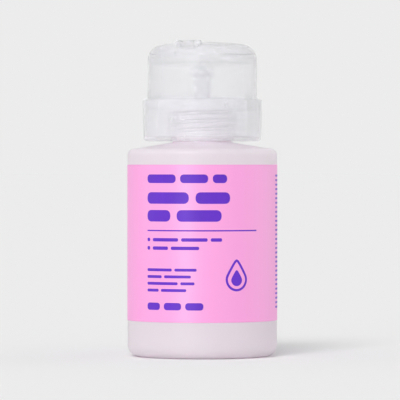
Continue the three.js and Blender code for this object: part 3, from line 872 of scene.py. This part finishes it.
def makeOrificeCap(size):
    under = size["top"] - size["thickness"]
    rings = roundedRings([
        (0, size["plug"]), (size["plugRadius"], size["plug"], size["plugRound"]),
        (size["plugRadius"], under, size["edge"]), (size["radius"], under, size["edge"]),
        (size["radius"], size["top"], size["thickness"] / 2), (0, size["top"])], size["arcSteps"])
    piece = turnPiece("spreader", rings, size["segments"])
    low, high = size["plug"] - size["holeSpare"], size["top"] + size["holeSpare"]
    for number in range(size["holes"]):
        angle = fullTurn * (number + 0.5) / size["holes"]
        x, y = size["plugRadius"] / 2 * math.cos(angle), size["plugRadius"] / 2 * math.sin(angle)
        drill = bevelledRod("hole", size["hole"], (x, y, low), (x, y, high), 0, size["holeSegments"])
        combine(piece, drill, "DIFFERENCE")
    smoothOff(turnToHinge(mergeSlivers(piece)))
    return dress(piece, looks["naturalPlastic"], "press_head", "natural_plastic", "orifice_cap")


makeOrificeCap(capSize)

lidSize = {
    "ringGap": 0.5, "ringWall": 0.9, "ringDepth": 0.9, "ringRound": 0.3,
    "pin": 3.2, "pinGap": 0.3, "pinRound": 0.3, "stubRound": 0.2,
    "lipWidth": 10.0, "lipReach": 1.7, "lipThickness": 1.2, "lipUnder": 0.3, "lipOver": 0.5, "lipEnds": 0.6,
    "lipSpare": 2, "arcSteps": 4,
}


def makeLid(size):
    seam, half = headSize["seam"], headSize["knuckle"] / 2
    bottom = seam + headSize["gap"]
    cap = trimBelow(domeShell("lid_cap", seam - headSize["lidHeight"]), bottom, headSize["edge"])
    ringOuter = rimInner - size["ringGap"]
    ringInner, ringBottom = ringOuter - size["ringWall"], seam - size["ringDepth"]
    inside = turnPiece("seal_ring", roundedRings([
        (ringOuter, ringBottom, size["ringRound"]), (ringOuter, domeTop),
        (ringInner, domeTop), (ringInner, ringBottom, size["ringRound"])], edgeSteps))
    pinBottom = capHigh.z / mm + size["pinGap"]
    orificePin = bevelledRod("orifice_pin", size["pin"] / 2, (0, 0, pinBottom), (0, 0, domeTop), size["pinRound"])
    combine(inside, orificePin, "UNION")
    combine(inside, domeFilled("dome_form"), "INTERSECT")
    combine(cap, inside, "UNION")
    bridgeRoom = roundedBlock("bridge_room", (-beyond, -beyond, seam - beyond), (beyond, -chord, seam + beyond), 0)
    combine(cap, bridgeRoom, "DIFFERENCE")
    lipInner, lipOuter = wallAt(bottom) - headSize["wall"] / 2, wallAt(bottom) + size["lipReach"]
    lipTop = bottom + size["lipThickness"]
    lip = turnPiece("lip", roundedRings([
        (lipInner, bottom), (lipOuter, bottom, size["lipUnder"]),
        (lipOuter, lipTop, size["lipOver"]), (lipInner, lipTop)], size["arcSteps"]))
    lipForm = roundedBlock("lip_width", (-size["lipWidth"] / 2, 0, seam - size["lipSpare"]),
                           (size["lipWidth"] / 2, beyond, domeTop), size["lipEnds"])
    combine(lip, lipForm, "INTERSECT")
    combine(cap, lip, "UNION")
    length = headSize["knuckleLength"] / 2
    arm = roundedBlock("arm", (-length, -hingeReach, hingeHeight - headSize["armDrop"]),
                       (length, -chord + headSize["wall"], hingeHeight + headSize["armRise"]), 0)
    combine(cap, arm, "UNION")
    combine(cap, alongHinge("knuckle", half, -length, length, headSize["edge"]), "UNION")
    pin = length + headSize["trunnionLength"]
    combine(cap, alongHinge("trunnions", headSize["trunnion"] / 2, -pin, pin, size["stubRound"]), "UNION")
    smoothOff(turnToHinge(mergeSlivers(cap)))
    return dress(cap, looks["clearPlastic"], "lid", "clear_plastic", "flip_lid")


makeLid(lidSize)
print("dish, spreader and lid made")


# stem, guide and return spring, which show through the clear skirt

stemLow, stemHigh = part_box("pump_stem")
stemSize = {
    "bottom": stemLow.z / mm, "top": stemHigh.z / mm, "radius": 3.4, "tail": 2.7, "bore": 1.7, "step": 92.99,
    "seat": 0.85, "hole": 1.7, "boreRound": 0.15, "endRound": 0.2, "stepRound": 0.1, "seatRound": 0.05,
    "arcSteps": 3, "segments": 64,
}


def makeStem(size):
    holeBottom = size["top"] - size["hole"]
    rings = roundedRings([
        (size["bore"], size["bottom"], size["boreRound"]), (size["tail"], size["bottom"], size["endRound"]),
        (size["tail"], size["step"]), (size["radius"], size["step"], size["stepRound"]),
        (size["radius"], size["top"], size["endRound"]), (size["seat"], size["top"], size["seatRound"]),
        (size["seat"], holeBottom), (size["bore"], holeBottom - size["bore"])], size["arcSteps"])
    piece = turnPiece("stem_tube", rings, size["segments"])
    smoothOff(piece)
    return dress(piece, looks["naturalPlastic"], "press_head", "natural_plastic", "pump_stem")


makeStem(stemSize)

guideLow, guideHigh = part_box("stem_guide")
guideSize = {
    "bottom": guideLow.z / mm, "top": guideHigh.z / mm, "bore": 3.5, "sleeve": 5.87,
    "flange": 8.1, "flangeBottom": 98.29, "flangeTop": 99.09, "flangeRound": 0.1,
    "boreUnder": 0.2, "boreOver": 0.25, "sleeveUnder": 0.3, "sleeveOver": 0.5, "arcSteps": 4, "segments": 96,
}


def makeGuide(size):
    rings = roundedRings([
        (size["bore"], size["bottom"], size["boreUnder"]), (size["sleeve"], size["bottom"], size["sleeveUnder"]),
        (size["sleeve"], size["flangeBottom"]), (size["flange"], size["flangeBottom"], size["flangeRound"]),
        (size["flange"], size["flangeTop"], size["flangeRound"]), (size["sleeve"], size["flangeTop"]),
        (size["sleeve"], size["top"], size["sleeveOver"]), (size["bore"], size["top"], size["boreOver"]),
    ], size["arcSteps"])
    piece = turnPiece("guide_ring", rings, size["segments"])
    smoothOff(piece)
    return dress(piece, looks["naturalPlastic"], "pump_engine", "natural_plastic", "stem_guide")


makeGuide(guideSize)

springLow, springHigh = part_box("return_spring")
springSize = {
    "radius": 4.5, "wire": 0.9, "wireSegments": 14, "coils": 7, "stepsPerCoil": 40, "smooth": 45,
    "bottom": springLow.z / mm, "top": springHigh.z / mm, "stroke": 7.0, "seat": 71.37,
}


def makeSpring(size):
    rise = size["top"] - size["bottom"] - size["wire"]
    dropSelection()
    bpy.ops.mesh.primitive_circle_add(
        vertices=size["wireSegments"], radius=size["wire"] / 2 * mm, rotation=(quarterTurn, 0, 0),
        location=(size["radius"] * mm, 0, (size["bottom"] + size["wire"] / 2) * mm))
    piece = bpy.context.object
    piece.name = "spring_coil"
    fixPlace(piece)
    sweepUp(piece, size["coils"], rise, size["coils"] * size["stepsPerCoil"])
    smoothOff(piece, size["smooth"])
    dress(piece, looks["springSteel"], "pump_engine", "spring_steel", "return_spring")
    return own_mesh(piece)


makeSpring(springSize)
print("stem, guide and spring made")


# pieces inside the neck keep their shape and take a finish

innerLooks = {
    "pump_housing": "naturalPlastic", "inlet_cage": "naturalPlastic", "dip_tube": "naturalPlastic",
    "piston": "whitePlastic", "piston_seat": "whitePlastic", "neck_gasket": "sealFoam",
    "inlet_ball": "valveGlass", "outlet_ball": "valveGlass",
}
for node, lookName in innerLooks.items():
    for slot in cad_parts[node].material_slots:
        slot.material = looks[lookName]
print("inner pieces finished:", len(innerLooks))


# studio: camera, pale floor, soft lamps and an even sky

studio = {
    "distance": 1.4, "eyeHeight": 0.074, "aimHeight": 0.0606, "sideStep": -0.0009,
    "millimetresPerPixel": 0.3885, "pixelsAcross": 400, "sensor": 36, "farthest": 100,
    "pale": (236, 236, 236), "paper": (240, 240, 240), "sky": 0.64, "floor": 60, "bounces": 64,
    # degrees left of the camera, elevation, strength and spread
    "lamps": [
        (26, 5, 0.44, 22),  # sheen on the left of the label
        (85, 5, 0.14, 40),  # weak light from the left
        (18, 47, 1.2, 24),  # main light, which throws the shadow
        (-110, 8, 0.4, 50),  # fill from the right and behind
    ],
}


def makeStudio(setup):
    dropSelection()
    drop = math.atan2(setup["eyeHeight"] - setup["aimHeight"], setup["distance"])
    bpy.ops.object.camera_add(
        location=(setup["sideStep"], -setup["distance"], setup["eyeHeight"]), rotation=(quarterTurn - drop, 0, 0))
    camera = bpy.context.object
    across = setup["pixelsAcross"] * setup["millimetresPerPixel"] * mm
    camera.data.sensor_width = setup["sensor"]
    camera.data.lens = setup["sensor"] * setup["distance"] / across
    camera.data.clip_end = setup["farthest"]
    bpy.context.scene.camera = camera

    for aside, height, strength, spread in setup["lamps"]:
        azimuth, elevation = math.radians(aside), math.radians(height)
        level = math.cos(elevation)
        towards = Vector((-math.sin(azimuth) * level, -math.cos(azimuth) * level, math.sin(elevation)))
        bpy.ops.object.light_add(type="SUN", location=towards, rotation=towards.to_track_quat("Z", "Y").to_euler())
        bpy.context.object.data.energy = strength
        bpy.context.object.data.angle = math.radians(spread)

    world = bpy.data.worlds.new("studio")
    bpy.context.scene.world = world
    world.use_nodes = True
    tree = world.node_tree
    sky = tree.nodes["Background"]
    sky.inputs["Color"].default_value = (1, 1, 1, 1)
    sky.inputs["Strength"].default_value = setup["sky"]
    backdrop = addNode(tree, "ShaderNodeBackground")
    backdrop.inputs["Color"].default_value = paint(*setup["pale"])
    rays = addNode(tree, "ShaderNodeLightPath")
    seen = mathNode(tree, "MAXIMUM", rays.outputs["Is Camera Ray"], rays.outputs["Is Glossy Ray"])
    seen = mathNode(tree, "MAXIMUM", seen, rays.outputs["Is Transmission Ray"])
    mix = addNode(tree, "ShaderNodeMixShader")
    tree.links.new(seen, mix.inputs["Fac"])
    tree.links.new(sky.outputs["Background"], mix.inputs[1])
    tree.links.new(backdrop.outputs["Background"], mix.inputs[2])
    tree.links.new(mix.outputs["Shader"], tree.nodes["World Output"].inputs["Surface"])

    bpy.ops.mesh.primitive_plane_add(size=setup["floor"])
    floor = bpy.context.object
    floor.name = "floor"
    paper = bpy.data.materials.new("floorPaper")
    paper.use_nodes = True
    shader = paper.node_tree.nodes["Principled BSDF"]
    shader.inputs["Base Color"].default_value = paint(*setup["paper"])
    shader.inputs["Roughness"].default_value = 1.0
    shader.inputs["Specular IOR Level"].default_value = 0.0
    floor.data.materials.append(paper)
    bpy.context.scene.view_settings.view_transform = "Standard"
    light = bpy.context.scene.cycles
    for kind in ("max", "transmission", "glossy", "diffuse"):
        setattr(light, kind + "_bounces", setup["bounces"])  # there are many clear walls to pass
    light.blur_glossy = 0.0


makeStudio(studio)
dropSelection()
